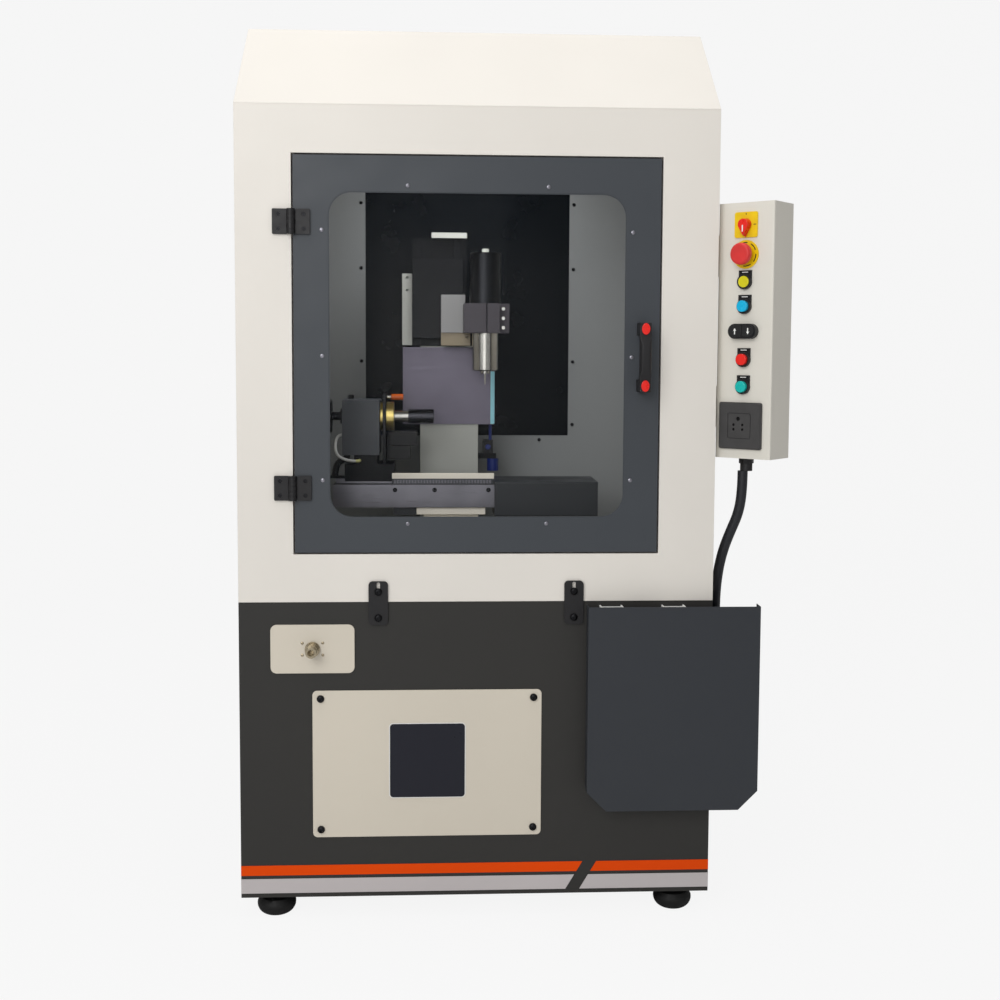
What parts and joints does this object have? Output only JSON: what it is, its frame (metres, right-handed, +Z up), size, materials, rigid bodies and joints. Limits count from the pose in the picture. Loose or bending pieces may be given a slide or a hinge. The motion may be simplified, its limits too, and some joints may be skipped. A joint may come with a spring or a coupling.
{
  "type": "bangle cutting machine",
  "caption": "Floor-standing enclosed bangle cutting machine: windowed swing door, turning mandrel on an X slide under a Z-axis spindle, side button pendant and fold-down shelf.",
  "frame": {"origin": "centre of the machine's outline in plan, on the floor under its feet", "axes": "+Z up, -Y out through the door towards the operator, +X to the operator's right, where the pendant is"},
  "size_m": [1.0756, 0.9406, 1.775],
  "materials": {
    "cream_powder_coat": "fine powder coat, satin",
    "base_grey_coat": "fine powder coat, satin",
    "foot_rubber": "matt moulded",
    "black_plastic": "matt moulded",
    "dark_plate": "satin",
    "black_screw_steel": "black oxide",
    "plated_brass": "turned",
    "orange_band": "satin, with a silver-white lower band",
    "white_bracket_coat": "powder coat",
    "chamber_grey_coat": "powder coat, satin",
    "chamber_dark_coat": "satin",
    "machine_grey_coat": "satin",
    "column_grey_coat": "satin",
    "brushed_steel": "brushed",
    "pendant_coat": "powder coat, satin",
    "yellow_legend": "satin",
    "cable_rubber": "matt",
    "door_grey_coat": "fine powder coat",
    "window_glass": "clear",
    "shelf_grey_coat": "textured powder coat",
    "headstock_grey_coat": "satin",
    "cream_block_coat": "satin, with a grey clamp and a grey saddle",
    "spindle_black": "dark anodised, with a bright nose",
    "red_control": "gloss",
    "yellow_control": "gloss",
    "blue_control": "gloss",
    "green_control": "gloss",
    "black_control": "gloss"
  },
  "bodies": {
    "cabinet": {"base_front_panel": "base_grey_coat", "base_side_panels": "base_grey_coat", "base_back_panel": "base_grey_coat", "base_plates": "base_grey_coat", "leveling_feet": "foot_rubber", "hood_front_panel": "cream_powder_coat", "hood_side_panels": "cream_powder_coat", "hood_roof_panel": "cream_powder_coat", "hood_back_panel": "cream_powder_coat", "retaining_clips": "black_plastic", "access_plate": "cream_powder_coat", "name_plate": "dark_plate", "panel_screws": "black_screw_steel", "connector_plate": "cream_powder_coat", "hose_connector": "plated_brass", "stripe_bands": "orange_band", "shelf_bracket_legs": "white_bracket_coat", "hinge_fixed_leaves": "black_plastic", "chamber_back_wall": "chamber_grey_coat", "chamber_dark_panel": "chamber_dark_coat", "machine_bed": "chamber_grey_coat", "beam_pedestal": "machine_grey_coat", "column_post": "column_grey_coat", "splash_plate": "brushed_steel", "x_beam": "machine_grey_coat", "x_front_plate": "brushed_steel", "x_motor_cover": "machine_grey_coat", "z_tower": "column_grey_coat", "valve_block": "machine_grey_coat", "pendant_box": "pendant_coat", "pendant_brackets": "pendant_coat", "legend_plates": "yellow_legend", "button_bezels": "black_plastic", "socket_plate": "dark_plate", "cable_glands": "black_plastic", "pendant_cable": "cable_rubber"},
    "door": {"door_frame": "door_grey_coat", "door_window": "window_glass", "window_screws": "brushed_steel", "door_handle": "black_plastic", "hinge_door_leaves": "black_plastic"},
    "shelf": {"fold_down_shelf": "shelf_grey_coat", "shelf_bracket_arms": "white_bracket_coat"},
    "x_slide": {"x_carriage": "machine_grey_coat", "headstock": "headstock_grey_coat", "headstock_cables": "cable_rubber"},
    "a_rotor": {"mandrel_rotor": "brushed_steel"},
    "z_carriage": {"z_slide": "cream_block_coat", "spindle_body": "spindle_black"},
    "spindle_rotor": {"cutter_spindle": "brushed_steel"},
    "switch": {"rotary_knob": "red_control"},
    "stop_stem": {"estop_stem": "black_plastic"},
    "stop_head": {"estop_head": "red_control"},
    "push_yellow": {"button_yellow": "yellow_control"},
    "push_blue": {"button_blue": "blue_control"},
    "push_red": {"button_red": "red_control"},
    "push_green": {"button_green": "green_control"},
    "push_up": {"button_up": "black_control"},
    "push_down": {"button_down": "black_control"}
  },
  "joints": [
    {"name": "door_hinge", "type": "hinge", "parent": "cabinet", "child": "door", "pos_m": [-0.4314, -0.42112, 1.1115], "axis": [0, 0, -1], "range_deg": [0, 110]},
    {"name": "shelf_fold", "type": "hinge", "parent": "cabinet", "child": "shelf", "pos_m": [0.25, -0.43207, 0.618], "axis": [-1, 0, 0], "range_deg": [0, 90]},
    {"name": "x_axis", "type": "slide", "parent": "cabinet", "child": "x_slide", "axis": [1, 0, 0], "range_m": [0, 0.2]},
    {"name": "a_axis", "type": "hinge", "parent": "x_slide", "child": "a_rotor", "pos_m": [-0.25, -0.11307, 0.981], "axis": [1, 0, 0], "continuous": true},
    {"name": "z_axis", "type": "slide", "parent": "cabinet", "child": "z_carriage", "axis": [0, 0, 1], "range_m": [-0.07, 0.04]},
    {"name": "spindle_turn", "type": "hinge", "parent": "z_carriage", "child": "spindle_rotor", "pos_m": [-0.0494, -0.11307, 1.07], "axis": [0, 0, 1], "continuous": true},
    {"name": "switch_turn", "type": "hinge", "parent": "cabinet", "child": "switch", "pos_m": [0.44054, -0.43183, 1.367], "axis": [-0.6626, -0.749, 0], "range_deg": [0, 90]},
    {"name": "stop_press", "type": "slide", "parent": "cabinet", "child": "stop_stem", "axis": [0.6626, 0.749, 0], "range_m": [0, 0.004], "stiffness_N_per_m": 1500},
    {"name": "stop_twist", "type": "hinge", "parent": "stop_stem", "child": "stop_head", "pos_m": [0.44054, -0.43183, 1.3105], "axis": [0.6626, 0.749, 0], "range_deg": [0, 35], "stiffness_Nm_per_rad": 0.1},
    {"name": "press_yellow", "type": "slide", "parent": "cabinet", "child": "push_yellow", "axis": [0.6626, 0.749, 0], "range_m": [0, 0.003], "stiffness_N_per_m": 800},
    {"name": "press_blue", "type": "slide", "parent": "cabinet", "child": "push_blue", "axis": [0.6626, 0.749, 0], "range_m": [0, 0.003], "stiffness_N_per_m": 800},
    {"name": "press_red", "type": "slide", "parent": "cabinet", "child": "push_red", "axis": [0.6626, 0.749, 0], "range_m": [0, 0.003], "stiffness_N_per_m": 800},
    {"name": "press_green", "type": "slide", "parent": "cabinet", "child": "push_green", "axis": [0.6626, 0.749, 0], "range_m": [0, 0.003], "stiffness_N_per_m": 800},
    {"name": "press_up", "type": "slide", "parent": "cabinet", "child": "push_up", "axis": [0.6626, 0.749, 0], "range_m": [0, 0.003], "stiffness_N_per_m": 800},
    {"name": "press_down", "type": "slide", "parent": "cabinet", "child": "push_down", "axis": [0.6626, 0.749, 0], "range_m": [0, 0.003], "stiffness_N_per_m": 800}
  ]
}
